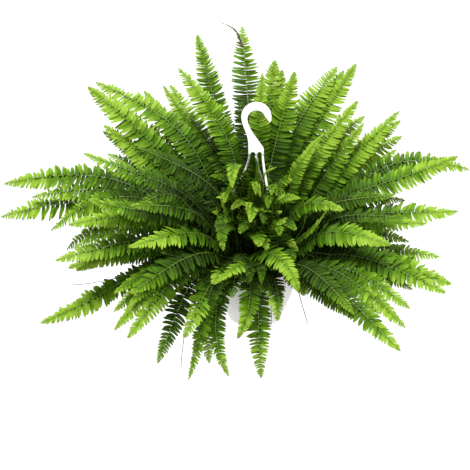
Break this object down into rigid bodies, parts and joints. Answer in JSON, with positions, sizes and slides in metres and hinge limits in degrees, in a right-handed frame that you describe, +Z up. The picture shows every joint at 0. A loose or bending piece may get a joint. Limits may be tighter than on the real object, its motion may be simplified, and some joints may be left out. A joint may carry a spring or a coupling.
{
  "type": "potted boston fern",
  "caption": "Boston fern in a pale tapered hanging pot: long arching pinnate fronds spread from the crown, over a legged plastic hanger with a swan-neck hook.",
  "frame": {"origin": "the seat inside the hanger's hook, which the potted plant hangs from", "axes": "+Z up, -Y towards the front, +X to the right, which is the way that the foliage spreads widest"},
  "size_m": [0.9133, 0.6897, 0.5914],
  "materials": {
    "pot": "satin moulded plastic",
    "soil": "crumbly peat potting soil",
    "hanger": "smooth white plastic",
    "frond": "soft satin leaf"
  },
  "bodies": {
    "root": {"pot": "pot", "soil": "soil", "hanger": "hanger", "frond_01": "frond", "frond_02": "frond", "frond_03": "frond", "frond_04": "frond", "frond_05": "frond", "frond_06": "frond", "frond_07": "frond", "frond_08": "frond", "frond_09": "frond", "frond_10": "frond", "frond_11": "frond", "frond_12": "frond", "frond_13": "frond", "frond_14": "frond", "frond_15": "frond", "frond_16": "frond", "frond_17": "frond", "frond_18": "frond", "frond_19": "frond", "frond_20": "frond", "frond_21": "frond", "frond_22": "frond", "frond_23": "frond", "frond_24": "frond", "frond_25": "frond", "frond_26": "frond", "frond_27": "frond", "frond_28": "frond", "frond_29": "frond", "frond_30": "frond", "frond_31": "frond", "frond_32": "frond", "frond_33": "frond", "frond_34": "frond", "frond_35": "frond", "frond_36": "frond", "frond_37": "frond", "frond_38": "frond", "frond_39": "frond", "frond_40": "frond", "frond_41": "frond", "frond_42": "frond", "frond_43": "frond", "frond_44": "frond", "frond_45": "frond", "frond_46": "frond", "frond_47": "frond", "frond_48": "frond", "frond_49": "frond", "frond_50": "frond", "frond_51": "frond", "frond_52": "frond", "frond_53": "frond", "frond_54": "frond", "frond_55": "frond", "frond_56": "frond"}
  },
  "joints": []
}
